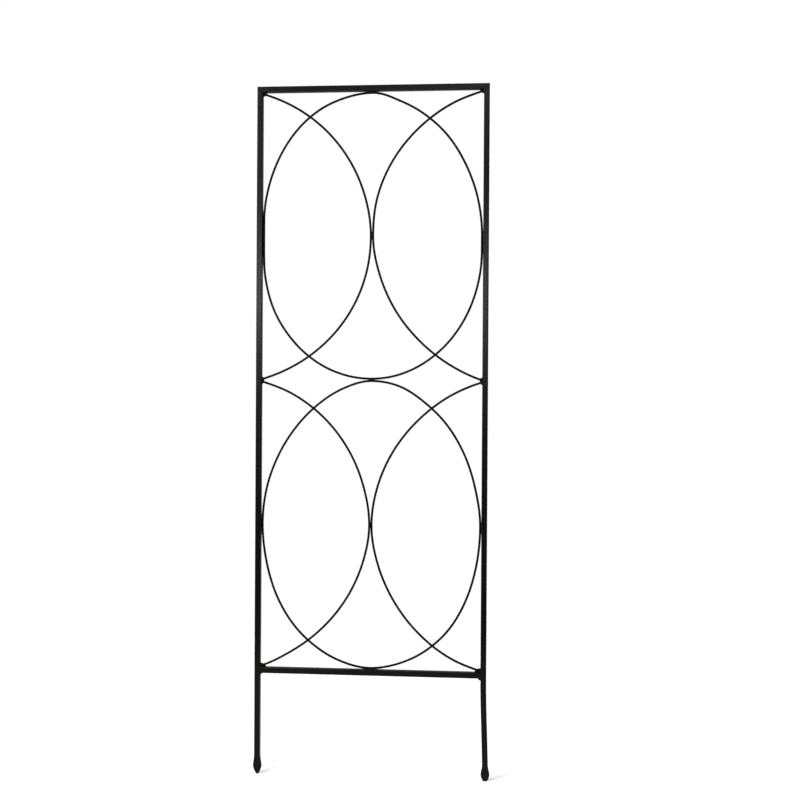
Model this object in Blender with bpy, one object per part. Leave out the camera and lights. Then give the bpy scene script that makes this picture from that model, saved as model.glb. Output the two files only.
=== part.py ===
"""Garden trellis: a black powder-coated steel panel that stands on two stakes.

Two square-tube stiles run down into crimped feet. A top rail is mitred onto them and a
bottom rail butts between them. Inside this frame two ovals of round wire stand one on the
other, in the back layer, and four arcs of the same wire bow in from the stiles to the
centre line, in the front layer. Weld beads join the pieces.

Metres, +Z up, front towards -Y. The origin is on the ground, midway between the stakes.
"""

from math import acos, cos, degrees, pi, radians, sin, sqrt

import bmesh
import bpy
from mathutils import Vector

# Frame of square tube
FRAME_WIDTH = 0.4615  # over the outer faces of the stiles
OVERALL_HEIGHT = 1.3716  # from the tips of the stakes to the top of the top rail
STAKE_LENGTH = 0.2032  # below the underside of the bottom rail
TUBE_SIZE = 0.0115
TUBE_WALL = 0.001
TUBE_CORNER_RADIUS = 0.0012
SHARPEST_BORE_CORNER = 0.0002
ROUNDEST_CORNER = 0.45  # a corner's radius over the thickness of a thin section

# Crimped foot of each stake
FOOT_WIDTH = 0.0175
FOOT_THICKNESS = 0.0028
FOOT_EDGE_THICKNESS = 0.0018
FOOT_TIP_WIDTH = 0.0048
FOOT_FLARE_LENGTH = 0.021  # from the square tube to the widest place
FOOT_POINT_LENGTH = 0.0145  # from the widest place to the tip
STAKE_LEAN = {"left": 0.0, "right": 0.0045}  # outwards at the tip, from the bottom rail down
BORE_CLOSES_AT = 0.0009  # the walls are pressed together where the bore gets this thin

# Round wire
WIRE_DIAMETER = 0.0045
ARC_CENTRE_OFFSET = 0.0986  # centre of an arc's ellipse, outside the stile's inner face
ARC_END_SETBACK = 0.0019  # from the stile to the middle of an arc's cut end

OVALS_MEET_ABOVE_MIDDLE = 0.0019  # the ovals touch a little above the middle of the panel

# How far each hand-bent wire strays outwards from its ideal curve between its welds:
# (degrees around the curve, stray over the oval's half width)
OVAL_STRAY = {
    "upper_oval": (
        (15, -0.005), (30, -0.017), (45, -0.026), (60, -0.037), (75, -0.033), (105, 0.001),
        (120, 0.016), (135, 0.025), (150, 0.025), (165, 0.018), (172, 0.010), (188, 0.009),
        (195, 0.025), (210, 0.042), (225, 0.033), (240, 0.016), (255, -0.001), (285, -0.004),
        (300, 0.007), (315, 0.021), (330, 0.027), (345, 0.019),
    ),
    "lower_oval": (
        (15, -0.011), (30, -0.013), (45, -0.014), (60, -0.014), (75, 0.005), (105, -0.015),
        (120, -0.032), (135, -0.032), (150, -0.020), (165, -0.005), (195, -0.002), (210, 0.002),
        (225, 0.000), (240, -0.008), (255, -0.008), (285, -0.001), (300, 0.010), (315, 0.020),
        (330, 0.014), (345, 0.004),
    ),
}
ARC_STRAY = {
    "upper_left_arc": (
        (-60, 0.004), (-45, 0.008), (-30, 0.008), (-15, 0.004),
        (15, -0.004), (30, -0.002), (45, 0.002), (60, 0.002),
    ),
    "upper_right_arc": (
        (-60, -0.008), (-45, -0.017), (-30, -0.018), (-15, -0.014),
        (15, 0.011), (30, 0.014), (45, 0.013), (60, 0.010),
    ),
    "lower_left_arc": (
        (-60, 0.008), (-45, 0.006), (-30, -0.001), (-15, -0.006),
        (15, -0.012), (30, -0.018), (45, -0.019), (60, -0.014),
    ),
    "lower_right_arc": (
        (-60, 0.000), (-45, -0.006), (-30, -0.007), (-15, -0.005),
        (15, -0.010), (30, -0.011), (45, -0.003), (60, 0.006),
    ),
}

# Weld beads
TOP_CORNER_WELD_REACH = 0.0085  # along the top rail
BOTTOM_CORNER_WELD_REACH = 0.0115  # along the bottom rail
CORNER_WELD_DROP = 0.0078  # along the stile
UNDER_RAIL_WELD_LEG = 0.005
MIDDLE_WELD_LENGTH = 0.016  # along the stile, over the ends of two arcs
MIDDLE_WELD_THROAT = 0.0062  # out from the stile
TACK_LENGTH = 0.014  # along a wire that lies against a tube or another wire
TACK_SPREAD = 1.2  # a tack's half width over the wire's radius
ARC_TACK_DEPTH = 0.0011  # in front of two arcs that touch
WELD_SKIN = 0.0004  # the least weld metal between two wires, or between a wire and a tube

SEAT_GAP = 0.0003  # between pieces that touch

# How finely the round shapes are divided
CORNER_STEPS = 3
STAKE_STEPS = 8
FLARE_STEPS = 6
POINT_STEPS = 5
OVAL_STEPS = 72
ARC_STEPS = 36
WIRE_BEVEL_RESOLUTION = 3
BEAD_SIDES = 14
BEAD_RINGS = 8
SHARP_ANGLE = radians(35)
WELD_MERGE = 1e-6

# Where the pieces lie
WIRE_RADIUS = WIRE_DIAMETER / 2
STILE_X = (FRAME_WIDTH - TUBE_SIZE) / 2
INNER_X = FRAME_WIDTH / 2 - TUBE_SIZE
TOP_RAIL_Z = OVERALL_HEIGHT - TUBE_SIZE / 2
TOP_RAIL_UNDERSIDE = OVERALL_HEIGHT - TUBE_SIZE
BOTTOM_RAIL_Z = STAKE_LENGTH + TUBE_SIZE / 2
BOTTOM_RAIL_TOP = STAKE_LENGTH + TUBE_SIZE
MIDDLE_Z = (TOP_RAIL_UNDERSIDE + BOTTOM_RAIL_TOP) / 2
MITRE_BACKOFF = SEAT_GAP / sqrt(2)
LAYER_Y = WIRE_RADIUS + SEAT_GAP / 2
OVAL_LAYER_Y = LAYER_Y
ARC_LAYER_Y = -LAYER_Y
WIRE_WELD_HALF_DEPTH = LAYER_Y + WIRE_RADIUS
TUBE_WELD_HALF_DEPTH = TUBE_SIZE / 2 - TUBE_CORNER_RADIUS
OVAL_HALF_WIDTH = INNER_X - SEAT_GAP - WIRE_RADIUS
OVAL_HALF_HEIGHT = (TOP_RAIL_UNDERSIDE - BOTTOM_RAIL_TOP - 3 * SEAT_GAP) / 4 - WIRE_RADIUS
OVAL_RISE = SEAT_GAP / 2 + WIRE_RADIUS + OVAL_HALF_HEIGHT  # from the middle to an oval's centre
ARC_LOW_END = WELD_SKIN / 2 + SEAT_GAP + WIRE_RADIUS  # from the middle to an arc's nearer end
ARC_CORNER_GAP = 2 * SEAT_GAP + WELD_SKIN  # from the rail to the wire at its farther end
ARC_HIGH_END = TOP_RAIL_UNDERSIDE - MIDDLE_Z - WIRE_RADIUS - ARC_CORNER_GAP
ARC_RISE = (ARC_LOW_END + ARC_HIGH_END) / 2  # from the middle to an arc's apex

SIDES = {"left": -1, "right": 1}
LEVELS = {"upper": 1, "lower": -1}


def clear_scene():
    """Remove every object that the scene starts with."""
    for thing in list(bpy.data.objects):
        bpy.data.objects.remove(thing)


def powder_coat(name, colour, roughness):
    """A black powder coat: a Principled BSDF with one colour and one roughness."""
    material = bpy.data.materials.new(name)
    material.use_nodes = True
    shader = material.node_tree.nodes["Principled BSDF"]
    shader.inputs["Base Color"].default_value = (*colour, 1.0)
    shader.inputs["Roughness"].default_value = roughness
    shader.inputs["Metallic"].default_value = 0.0
    return material


def tube_coat():
    """The coat on the flat faces of the square tube."""
    return powder_coat("tube_coat", (0.026, 0.025, 0.024), 0.48)


def wire_coat():
    """The coat on the thin wire, which reads a little darker."""
    return powder_coat("wire_coat", (0.014, 0.014, 0.014), 0.42)


def weld_coat():
    """The coat over the rough weld metal."""
    return powder_coat("weld_coat", (0.020, 0.020, 0.019), 0.55)


def add_group(name, parent=None):
    """An empty that holds the pieces of one sub-assembly."""
    group = bpy.data.objects.new(name, None)
    group.parent = parent
    bpy.context.scene.collection.objects.link(group)
    return group


def add_piece(name, data, material, group, location=(0, 0, 0)):
    """One named piece of the trellis."""
    piece = bpy.data.objects.new(name, data)
    data.materials.append(material)
    piece.parent = group
    piece.location = location
    bpy.context.scene.collection.objects.link(piece)
    return piece


def add_cutter(name, mesh, group, location=(0, 0, 0)):
    """A helper that only cuts clearance into the weld beads."""
    cutter = bpy.data.objects.new(name, mesh)
    cutter.parent = group
    cutter.location = location
    cutter.hide_render = True
    cutter.display_type = "WIRE"
    bpy.context.scene.collection.objects.link(cutter)
    return cutter


def finished_mesh(name, shape):
    """Turn a bmesh into a mesh that faces out and is smooth between its sharp edges."""
    bmesh.ops.recalc_face_normals(shape, faces=shape.faces)
    mesh = bpy.data.meshes.new(name)
    shape.to_mesh(mesh)
    shape.free()
    mesh.shade_smooth()
    mesh.set_sharp_from_angle(angle=SHARP_ANGLE)
    return mesh


def rounded_rectangle(width, depth, radius):
    """Points (across, deep) around a rectangle with round corners, centred on the origin."""
    radius = min(radius, ROUNDEST_CORNER * width, ROUNDEST_CORNER * depth)
    points = []
    for corner in range(4):
        start = corner * pi / 2
        across = (width / 2 - radius) * (1 if corner in (0, 3) else -1)
        deep = (depth / 2 - radius) * (1 if corner in (0, 1) else -1)
        for step in range(CORNER_STEPS + 1):
            angle = start + step / CORNER_STEPS * pi / 2
            points.append((across + radius * cos(angle), deep + radius * sin(angle)))
    return points


def outer_section(width=TUBE_SIZE, depth=TUBE_SIZE):
    """The outline of the tube, or of its crimped foot."""
    return rounded_rectangle(width, depth, TUBE_CORNER_RADIUS)


def bore_section(width=TUBE_SIZE, depth=TUBE_SIZE):
    """The outline of the bore inside the outer section of the same width and depth."""
    radius = max(TUBE_CORNER_RADIUS - TUBE_WALL, SHARPEST_BORE_CORNER)
    return rounded_rectangle(width - 2 * TUBE_WALL, depth - 2 * TUBE_WALL, radius)


def join_rings(shape, first, second):
    """A band of quads between two rings with the same number of points."""
    count = len(first)
    for index in range(count):
        following = (index + 1) % count
        shape.faces.new((first[index], first[following], second[following], second[index]))


def lofted_tube(name, outer_rings, bore_rings, blind):
    """A hollow skin over rings of points, open at its first ring.

    A blind bore is closed at its last ring, and a through bore opens at the last outer ring.
    """
    shape = bmesh.new()
    outside = [[shape.verts.new(point) for point in ring] for ring in outer_rings]
    inside = [[shape.verts.new(point) for point in ring] for ring in bore_rings]
    for rings in (outside, inside):
        for first, second in zip(rings, rings[1:]):
            join_rings(shape, first, second)
    join_rings(shape, outside[0], inside[0])
    if blind:
        shape.faces.new(outside[-1])
        shape.faces.new(inside[-1])
    else:
        join_rings(shape, outside[-1], inside[-1])
    return finished_mesh(name, shape)


def foot_sections():
    """(height, width, thickness) down the crimped foot, from the square tube to the tip."""
    sections = []
    for step in range(FLARE_STEPS + 1):
        share = step / FLARE_STEPS
        ease = share * share * (3 - 2 * share)
        height = FOOT_POINT_LENGTH + FOOT_FLARE_LENGTH * (1 - share)
        width = TUBE_SIZE + (FOOT_WIDTH - TUBE_SIZE) * ease
        thickness = TUBE_SIZE + (FOOT_THICKNESS - TUBE_SIZE) * ease
        sections.append((height, width, thickness))
    for step in range(1, POINT_STEPS + 1):
        turn = step / POINT_STEPS * pi / 2
        height = FOOT_POINT_LENGTH * (1 - sin(turn))
        width = FOOT_TIP_WIDTH + (FOOT_WIDTH - FOOT_TIP_WIDTH) * cos(turn)
        thickness = FOOT_THICKNESS + (FOOT_EDGE_THICKNESS - FOOT_THICKNESS) * sin(turn)
        sections.append((height, width, thickness))
    return sections


def stake_sections():
    """(height, width, thickness) down the stake, from the bottom rail to the tip."""
    foot = foot_sections()
    foot_top = foot[0][0]
    sections = []
    for step in range(STAKE_STEPS):
        height = STAKE_LENGTH + (foot_top - STAKE_LENGTH) * step / STAKE_STEPS
        sections.append((height, TUBE_SIZE, TUBE_SIZE))
    return sections + foot


def stake_lean(side_name, height):
    """How far a stake has leant sideways at a height, towards +X."""
    share = 1 - height / STAKE_LENGTH
    ease = share * share * (3 - 2 * share)
    return SIDES[side_name] * STAKE_LEAN[side_name] * ease


def mitred_top(section, side):
    """The stile's top ring, cut at 45 degrees down from the outer face."""
    ring = []
    for across, deep in section:
        from_outer_face = TUBE_SIZE / 2 - side * across
        height = OVERALL_HEIGHT - from_outer_face - MITRE_BACKOFF
        ring.append((across, deep, height))
    return ring


def stile_mesh(name, side_name):
    """A square tube with a mitred top, whose lower end is crimped to a flat point."""
    side = SIDES[side_name]
    outer_rings = [mitred_top(outer_section(), side)]
    bore_rings = [mitred_top(bore_section(), side)]
    bore_open = True
    for height, width, thickness in stake_sections():
        lean = stake_lean(side_name, height)
        outline = outer_section(width, thickness)
        outer_rings.append([(lean + u, v, height) for u, v in outline])
        bore_open = bore_open and thickness - 2 * TUBE_WALL > BORE_CLOSES_AT
        if bore_open:
            outline = bore_section(width, thickness)
            bore_rings.append([(lean + u, v, height) for u, v in outline])
    return lofted_tube(name, outer_rings, bore_rings, blind=True)


def rail_ring(section, end_of):
    """A rail's end ring. end_of gives the rail's end at a height above its axis."""
    return [(end_of(up), deep, up) for up, deep in section]


def top_rail_mesh(name):
    """A square tube with both ends cut at 45 degrees to meet the stiles."""

    def end_at(side):
        reach = FRAME_WIDTH / 2 - TUBE_SIZE / 2 - MITRE_BACKOFF
        return lambda up: side * (reach + up)

    outer_rings = [rail_ring(outer_section(), end_at(side)) for side in SIDES.values()]
    bore_rings = [rail_ring(bore_section(), end_at(side)) for side in SIDES.values()]
    return lofted_tube(name, outer_rings, bore_rings, blind=False)


def bottom_rail_mesh(name):
    """A square tube cut square, which fits between the stiles."""

    def end_at(side):
        return lambda up: side * (INNER_X - SEAT_GAP)

    outer_rings = [rail_ring(outer_section(), end_at(side)) for side in SIDES.values()]
    bore_rings = [rail_ring(bore_section(), end_at(side)) for side in SIDES.values()]
    return lofted_tube(name, outer_rings, bore_rings, blind=False)


def stray_at(angle, pins, knots):
    """How far a wire strays at an angle in degrees, in the units of its knots.

    The stray runs through the knots on a cubic curve. At each pin it is fixed and level.
    """
    track = sorted([*pins.items(), *knots])

    def slope(index):
        if track[index][0] in pins:
            return 0
        before, after = track[index - 1], track[index + 1]
        return (after[1] - before[1]) / (after[0] - before[0])

    index = 0
    while index < len(track) - 2 and angle > track[index + 1][0]:
        index += 1
    start, end = track[index], track[index + 1]
    span = end[0] - start[0]
    share = (angle - start[0]) / span
    rise = 3 * share**2 - 2 * share**3
    leave = (share - 2 * share**2 + share**3) * span * slope(index)
    arrive = (share**3 - share**2) * span * slope(index + 1)
    return (1 - rise) * start[1] + rise * end[1] + leave + arrive


def ellipse_point(half_width, half_height, angle, stray):
    """A point (across, up) of an ellipse, moved straight outwards by the stray."""
    outward = Vector((half_height * cos(angle), half_width * sin(angle))).normalized()
    return Vector((half_width * cos(angle), half_height * sin(angle))) + outward * stray


def oval_pins(level):
    """An oval's stray at its welds, by angle: none, except where the two ovals meet."""
    pins = dict.fromkeys((0, 90, 180, 270, 360), 0)
    pins[180 + 90 * level] = -level * OVALS_MEET_ABOVE_MIDDLE / OVAL_HALF_WIDTH
    return pins


def oval_points(level, knots):
    """The oval's centre line around its own centre.

    Where it would stray into a stile, it lies along the stile.
    """
    pins = oval_pins(level)
    points = []
    for step in range(OVAL_STEPS):
        angle = 2 * pi * step / OVAL_STEPS
        stray = stray_at(degrees(angle), pins, knots) * OVAL_HALF_WIDTH
        across, up = ellipse_point(OVAL_HALF_WIDTH, OVAL_HALF_HEIGHT, angle, stray)
        across = min(max(across, -OVAL_HALF_WIDTH), OVAL_HALF_WIDTH)
        points.append(Vector((across, 0, up)))
    return points


def arc_points(side, level, knots):
    """An arc's centre line, from the middle of the stile to the frame's corner.

    It is part of an ellipse whose centre lies outside the stile. Its apex comes to the
    centre line of the trellis, beside the apex of the arc from the other stile.
    """
    end_x = INNER_X - ARC_END_SETBACK
    centre_x = INNER_X + ARC_CENTRE_OFFSET
    half_width = centre_x - WIRE_RADIUS - SEAT_GAP / 2
    end_angle = acos((centre_x - end_x) / half_width)
    half_height = (ARC_HIGH_END - ARC_LOW_END) / 2 / sin(end_angle)
    pins = dict.fromkeys((-degrees(end_angle), 0, degrees(end_angle)), 0)
    points = []
    for step in range(ARC_STEPS + 1):
        angle = end_angle * (2 * step / ARC_STEPS - 1)
        stray = stray_at(degrees(angle), pins, knots) * OVAL_HALF_WIDTH
        inwards, up = ellipse_point(half_width, half_height, angle, stray)
        points.append(Vector((side * (centre_x - inwards), 0, level * (ARC_RISE + up))))
    return points


def wire_curve(name, points, radius, closed):
    """A round wire along the points, with flat ends unless it is closed."""
    curve = bpy.data.curves.new(name, "CURVE")
    curve.dimensions = "3D"
    curve.fill_mode = "FULL"
    curve.bevel_depth = radius
    curve.bevel_resolution = WIRE_BEVEL_RESOLUTION
    curve.use_fill_caps = not closed
    spline = curve.splines.new("POLY")
    spline.points.add(len(points) - 1)
    for spot, point in zip(spline.points, points):
        spot.co = (*point, 1)
    spline.use_cyclic_u = closed
    return curve


def lengthened(points, extra):
    """The same path with both its ends carried on straight."""
    first = points[0] + (points[0] - points[1]).normalized() * extra
    last = points[-1] + (points[-1] - points[-2]).normalized() * extra
    return [first, *points, last]


def wire_clearance(name, points, closed):
    """The space that a weld bead leaves free for a wire: the wire with a gap all round."""
    path = points if closed else lengthened(points, SEAT_GAP)
    curve = wire_curve(name, path, WIRE_RADIUS + SEAT_GAP, closed)
    holder = bpy.data.objects.new(name, curve)
    mesh = bpy.data.meshes.new_from_object(holder)
    bpy.data.objects.remove(holder)
    shape = bmesh.new()
    shape.from_mesh(mesh)
    bmesh.ops.remove_doubles(shape, verts=shape.verts, dist=WELD_MERGE)
    return finished_mesh(name, shape)


def box_mesh(name, low, high):
    """A closed box between two corners."""
    shape = bmesh.new()
    bmesh.ops.create_cube(shape, size=1)
    size = Vector(high) - Vector(low)
    bmesh.ops.scale(shape, vec=size, verts=shape.verts)
    bmesh.ops.translate(shape, vec=(Vector(high) + Vector(low)) / 2, verts=shape.verts)
    return finished_mesh(name, shape)


def bead_mesh(name, radii):
    """A lump of weld metal: a ball stretched to three half sizes."""
    shape = bmesh.new()
    bmesh.ops.create_uvsphere(shape, u_segments=BEAD_SIDES, v_segments=BEAD_RINGS, radius=1)
    bmesh.ops.scale(shape, vec=radii, verts=shape.verts)
    return finished_mesh(name, shape)


class Trellis:
    """The whole trellis: its groups, its materials and the space that its welds may fill."""

    def __init__(self):
        self.root = add_group("trellis")
        self.frame = add_group("frame", self.root)
        self.infill = add_group("infill", self.root)
        self.welds = add_group("welds", self.root)
        self.helpers = add_group("weld_helpers", self.root)
        self.tube = tube_coat()
        self.wire = wire_coat()
        self.weld = weld_coat()
        self.clearances = {}
        self.panel_space = self.space_between_stiles(
            "panel_space", BOTTOM_RAIL_TOP + SEAT_GAP, TOP_RAIL_UNDERSIDE - SEAT_GAP
        )
        self.stake_space = self.space_between_stiles("stake_space", 0, STAKE_LENGTH - SEAT_GAP)

    def space_between_stiles(self, name, low, high):
        """A box that ends a gap short of the stiles. A weld keeps only its part in the box."""
        half_width = INNER_X - SEAT_GAP
        mesh = box_mesh(name, (-half_width, -TUBE_SIZE, low), (half_width, TUBE_SIZE, high))
        return add_cutter(name, mesh, self.helpers)

    def add_frame(self):
        """Two stiles and two rails of square tube."""
        for side_name, side in SIDES.items():
            name = side_name + "_stile"
            mesh = stile_mesh(name, side_name)
            add_piece(name, mesh, self.tube, self.frame, (side * STILE_X, 0, 0))
        mesh = top_rail_mesh("top_rail")
        add_piece("top_rail", mesh, self.tube, self.frame, (0, 0, TOP_RAIL_Z))
        mesh = bottom_rail_mesh("bottom_rail")
        add_piece("bottom_rail", mesh, self.tube, self.frame, (0, 0, BOTTOM_RAIL_Z))

    def add_wire(self, name, points, closed, location):
        """One piece of wire, and the clearance around it."""
        curve = wire_curve(name, points, WIRE_RADIUS, closed)
        add_piece(name, curve, self.wire, self.infill, location)
        mesh = wire_clearance(name + "_clearance", points, closed)
        self.clearances[name] = add_cutter(mesh.name, mesh, self.helpers, location)

    def add_infill(self):
        """One oval and two arcs in each half of the frame."""
        for level_name, level in LEVELS.items():
            name = level_name + "_oval"
            place = (0, OVAL_LAYER_Y, MIDDLE_Z + level * OVAL_RISE)
            self.add_wire(name, oval_points(level, OVAL_STRAY[name]), True, place)
            for side_name, side in SIDES.items():
                name = f"{level_name}_{side_name}_arc"
                place = (0, ARC_LAYER_Y, MIDDLE_Z)
                self.add_wire(name, arc_points(side, level, ARC_STRAY[name]), False, place)

    def add_weld(self, name, centre, radii, space, wires):
        """A bead, kept inside its space and cut clear of the wires that it holds."""
        bead = add_piece(name, bead_mesh(name, radii), self.weld, self.welds, centre)
        inside = bead.modifiers.new("inside_the_frame", "BOOLEAN")
        inside.operation = "INTERSECT"
        inside.object = space
        for wire in wires:
            cut = bead.modifiers.new("clear_of_" + wire, "BOOLEAN")
            cut.operation = "DIFFERENCE"
            cut.object = self.clearances[wire]

    def add_corner_welds(self):
        """A bead in each corner of the panel, over the end of an arc."""
        corners = {
            "top": ("upper", TOP_RAIL_UNDERSIDE, TOP_CORNER_WELD_REACH),
            "bottom": ("lower", BOTTOM_RAIL_TOP, BOTTOM_CORNER_WELD_REACH),
        }
        for end, (level_name, height, reach) in corners.items():
            radii = (reach, WIRE_WELD_HALF_DEPTH, CORNER_WELD_DROP)
            for side_name, side in SIDES.items():
                name = f"{end}_{side_name}_corner_weld"
                centre = (side * INNER_X, 0, height)
                wires = [f"{level_name}_{side_name}_arc"]
                self.add_weld(name, centre, radii, self.panel_space, wires)

    def add_under_rail_welds(self):
        """A fillet below each end of the bottom rail."""
        radii = (UNDER_RAIL_WELD_LEG, TUBE_WELD_HALF_DEPTH, UNDER_RAIL_WELD_LEG)
        for side_name, side in SIDES.items():
            name = side_name + "_under_rail_weld"
            centre = (side * INNER_X, 0, STAKE_LENGTH)
            self.add_weld(name, centre, radii, self.stake_space, [])

    def add_middle_welds(self):
        """A bead on each stile, over the ends of the arcs above and below it."""
        radii = (MIDDLE_WELD_THROAT, WIRE_WELD_HALF_DEPTH, MIDDLE_WELD_LENGTH / 2)
        for side_name, side in SIDES.items():
            name = side_name + "_middle_weld"
            centre = (side * INNER_X, 0, MIDDLE_Z)
            wires = [f"{level_name}_{side_name}_arc" for level_name in LEVELS]
            self.add_weld(name, centre, radii, self.panel_space, wires)

    def add_oval_tacks(self):
        """Tacks in the grooves where the ovals lie against the frame and each other."""
        front = OVAL_LAYER_Y - WIRE_RADIUS
        inset = (WIRE_RADIUS + SEAT_GAP) / 2
        along = TACK_LENGTH / 2
        across = WIRE_RADIUS * TACK_SPREAD
        for level_name, level in LEVELS.items():
            oval = level_name + "_oval"
            for side_name, side in SIDES.items():
                name = f"{oval}_{side_name}_weld"
                centre = (side * (INNER_X - inset), front, MIDDLE_Z + level * OVAL_RISE)
                radii = (across, WIRE_RADIUS, along)
                self.add_weld(name, centre, radii, self.panel_space, [oval])
        radii = (along, WIRE_RADIUS, across)
        meeting = MIDDLE_Z + OVALS_MEET_ABOVE_MIDDLE
        for name, height, ovals in (
            ("upper_oval_top_weld", TOP_RAIL_UNDERSIDE - inset, ["upper_oval"]),
            ("lower_oval_bottom_weld", BOTTOM_RAIL_TOP + inset, ["lower_oval"]),
            ("oval_to_oval_weld", meeting, ["upper_oval", "lower_oval"]),
        ):
            self.add_weld(name, (0, front, height), radii, self.panel_space, ovals)

    def add_arc_tacks(self):
        """A tack at the centre of each panel, where the left and right arcs touch."""
        front = ARC_LAYER_Y - WIRE_RADIUS
        radii = (WIRE_RADIUS * TACK_SPREAD, ARC_TACK_DEPTH, TACK_LENGTH / 2)
        for level_name, level in LEVELS.items():
            name = level_name + "_arc_pair_weld"
            centre = (0, front, MIDDLE_Z + level * ARC_RISE)
            wires = [f"{level_name}_{side_name}_arc" for side_name in SIDES]
            self.add_weld(name, centre, radii, self.panel_space, wires)

    def build(self):
        """Build every piece."""
        self.add_frame()
        self.add_infill()
        self.add_corner_welds()
        self.add_under_rail_welds()
        self.add_middle_welds()
        self.add_oval_tacks()
        self.add_arc_tacks()


clear_scene()
Trellis().build()
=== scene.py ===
"""The looks of a garden trellis: black powder-coated tube and wire, weld beads, and a studio.

Metres, in the frame of the CAD model: +Z up, the front towards -Y, and the origin midway
between the two stiles, at the height of the stake tips.
"""

import logging
from collections.abc import Callable, Sequence
from dataclasses import dataclass
from enum import IntEnum
from functools import partial
from math import acos, atan2, cos, degrees, exp, hypot, pi, radians, sin, sqrt

import bmesh
import bpy
from bmesh.types import BMesh, BMVert
from bpy.types import Mesh
from mathutils import Matrix, Vector


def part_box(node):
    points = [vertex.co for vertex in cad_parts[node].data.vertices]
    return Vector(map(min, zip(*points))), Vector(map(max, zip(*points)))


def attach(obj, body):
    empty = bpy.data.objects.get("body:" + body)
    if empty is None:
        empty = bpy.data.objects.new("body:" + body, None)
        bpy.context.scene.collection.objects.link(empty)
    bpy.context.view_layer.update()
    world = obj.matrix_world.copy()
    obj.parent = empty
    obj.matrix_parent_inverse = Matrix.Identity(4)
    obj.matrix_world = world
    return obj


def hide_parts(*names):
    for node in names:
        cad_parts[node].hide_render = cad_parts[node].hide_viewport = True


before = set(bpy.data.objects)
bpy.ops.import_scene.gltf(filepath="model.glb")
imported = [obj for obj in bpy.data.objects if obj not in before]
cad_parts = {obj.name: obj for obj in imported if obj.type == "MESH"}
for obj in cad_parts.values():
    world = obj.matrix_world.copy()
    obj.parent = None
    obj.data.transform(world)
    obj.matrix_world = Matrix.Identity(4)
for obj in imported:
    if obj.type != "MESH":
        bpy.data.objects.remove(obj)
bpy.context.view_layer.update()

BODY = "root"
EDGE_ATTRIBUTE = "thin_coat"
SHARP_ANGLE = radians(40)
BACKDROP_RAYS = ("Camera", "Glossy", "Transmission")
WHITE = (1.0, 1.0, 1.0, 1.0)

log = logging.getLogger("trellis")

Ring = list[Vector]
Pair = tuple[float, float]
Triple = tuple[float, float, float]
Block = tuple[Triple, Triple]
Wire = Callable[[float], Vector]
Melted = tuple[Wire, float, float]

# How far each hand-bent wire strays outwards from its ideal curve between its welds, as in
# the CAD model: in thousandths of an oval's half width, at angles in degrees around the curve
OVAL_KNOTS = [angle for angle in range(15, 360, 15) if angle % 90]
ARC_KNOTS = [angle for angle in range(-60, 75, 15) if angle]
STRAY = {
    "upper_oval": (-5, -17, -26, -37, -33, 1, 16, 25, 25, 18, 25, 42, 33, 16, -1, -4, 7, 21, 27, 19),
    "lower_oval": (-11, -13, -14, -14, 5, -15, -32, -32, -20, -5, -2, 2, 0, -8, -8, -1, 10, 20, 14, 4),
    "upper_left_arc": (4, 8, 8, 4, -4, -2, 2, 2),
    "upper_right_arc": (-8, -17, -18, -14, 11, 14, 13, 10),
    "lower_left_arc": (8, 6, -1, -6, -12, -18, -19, -14),
    "lower_right_arc": (0, -6, -7, -5, -10, -11, -3, 6),
}
CLOSE_KNOTS = {"upper_oval": ((172, 10), (188, 9))}


class Half(IntEnum):
    """A half of the trellis, whose value is its sign."""

    @property
    def word(self) -> str:
        """The half's name in lower case."""
        return self.name.lower()


class Side(Half):
    """The left and the right half of the trellis, seen from the front."""

    LEFT = -1
    RIGHT = 1


class Level(Half):
    """The upper and the lower panel of the trellis."""

    UPPER = 1
    LOWER = -1

    @property
    def end(self) -> str:
        """Which rail the panel ends at."""
        return "top" if self is Level.UPPER else "bottom"


def ease(share: float) -> float:
    """A smooth step from 0 to 1, level at both ends, for a share that is held between them."""
    share = min(max(share, 0.0), 1.0)
    return share * share * (3 - 2 * share)


def blend(first: float, second: float, share: float) -> float:
    """The value at a share of the way from first to second."""
    return first + (second - first) * share


def spread(middle: float, half: float, steps: int) -> list[float]:
    """Even places, from half below the middle to half above it."""
    return [middle + half * (2 * step / steps - 1) for step in range(steps + 1)]


def cubic(points: Sequence[Pair], place: float, slope: Callable[[int], float]) -> float:
    """Read a cubic curve that runs through points with given slopes.

    Args:
        points: (place, value) pairs in rising order of place.
        place: Where to read the curve, which is held inside the points.
        slope: Gives the slope at the point of an index.

    Returns:
        The value there.
    """
    place = min(max(place, points[0][0]), points[-1][0])
    index = 0
    while index < len(points) - 2 and place > points[index + 1][0]:
        index += 1
    (start, low), (end, high) = points[index], points[index + 1]
    span = end - start
    share = (place - start) / span
    leave = share * (1 - share) ** 2 * span * slope(index)
    arrive = share * share * (share - 1) * span * slope(index + 1)
    return blend(low, high, ease(share)) + leave + arrive


def stray_at(wire: str, angle: float, pins: dict[float, float]) -> float:
    """How far a wire strays from its ideal curve.

    Args:
        wire: The wire's node.
        angle: The angle around the curve, in degrees.
        pins: The strays at the angles where the wire is held, and where the stray is level.

    Returns:
        The stray there, as a share of an oval's half width.
    """
    angles = ARC_KNOTS if wire.endswith("arc") else OVAL_KNOTS
    knots = [*zip(angles, STRAY[wire]), *CLOSE_KNOTS.get(wire, ())]
    track = sorted([*pins.items(), *((place, stray / 1000) for place, stray in knots)])

    def slope(at: int) -> float:
        """The slope from neighbour to neighbour, and none at a pin."""
        (start, low), (end, high) = track[at - 1], track[(at + 1) % len(track)]
        return 0.0 if track[at][0] in pins else (high - low) / (end - start)

    return cubic(track, angle, slope)


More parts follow.
